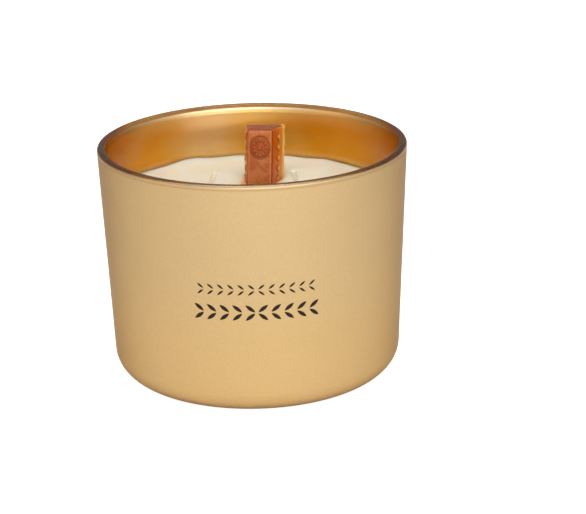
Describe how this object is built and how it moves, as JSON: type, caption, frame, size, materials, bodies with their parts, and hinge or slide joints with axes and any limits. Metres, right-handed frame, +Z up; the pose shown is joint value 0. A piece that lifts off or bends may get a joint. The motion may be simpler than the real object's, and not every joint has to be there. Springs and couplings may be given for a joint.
{
  "type": "scented candle",
  "caption": "Scented candle in a tapered round glass jar with a gold lacquer coat, with cotton wicks in a pale wax fill and a small amber bar that stands in the wax and lifts out.",
  "frame": {"origin": "centre of the jar's underside, in the plane that it stands on", "axes": "+Z up along the jar's axis, -Y towards the jar's decorated front, +X to the right seen from the front"},
  "size_m": [0.12, 0.12, 0.0913],
  "materials": {
    "glass": "gloss",
    "lacquer": "satin",
    "label_paper": "matt",
    "soy_wax": "satin",
    "adhesive_pad": "matt",
    "tinplate": "satin",
    "cotton_wick": "waxed",
    "amber": "satin"
  },
  "bodies": {
    "jar": {"glass_jar": "glass", "lacquer_coat": "lacquer", "base_label": "label_paper", "wax_fill": "soy_wax", "pad_left": "adhesive_pad", "pad_right": "adhesive_pad", "pad_front": "adhesive_pad", "tab_left": "tinplate", "tab_right": "tinplate", "tab_front": "tinplate", "wick_left": "cotton_wick", "wick_right": "cotton_wick", "wick_front": "cotton_wick"},
    "amber_block": {"amber_block": "amber"}
  },
  "joints": [
    {"name": "amber_block_lift", "type": "slide", "parent": "jar", "child": "amber_block", "axis": [0.0382, 0.309, 0.9503], "range_m": [0, 0.045]}
  ]
}
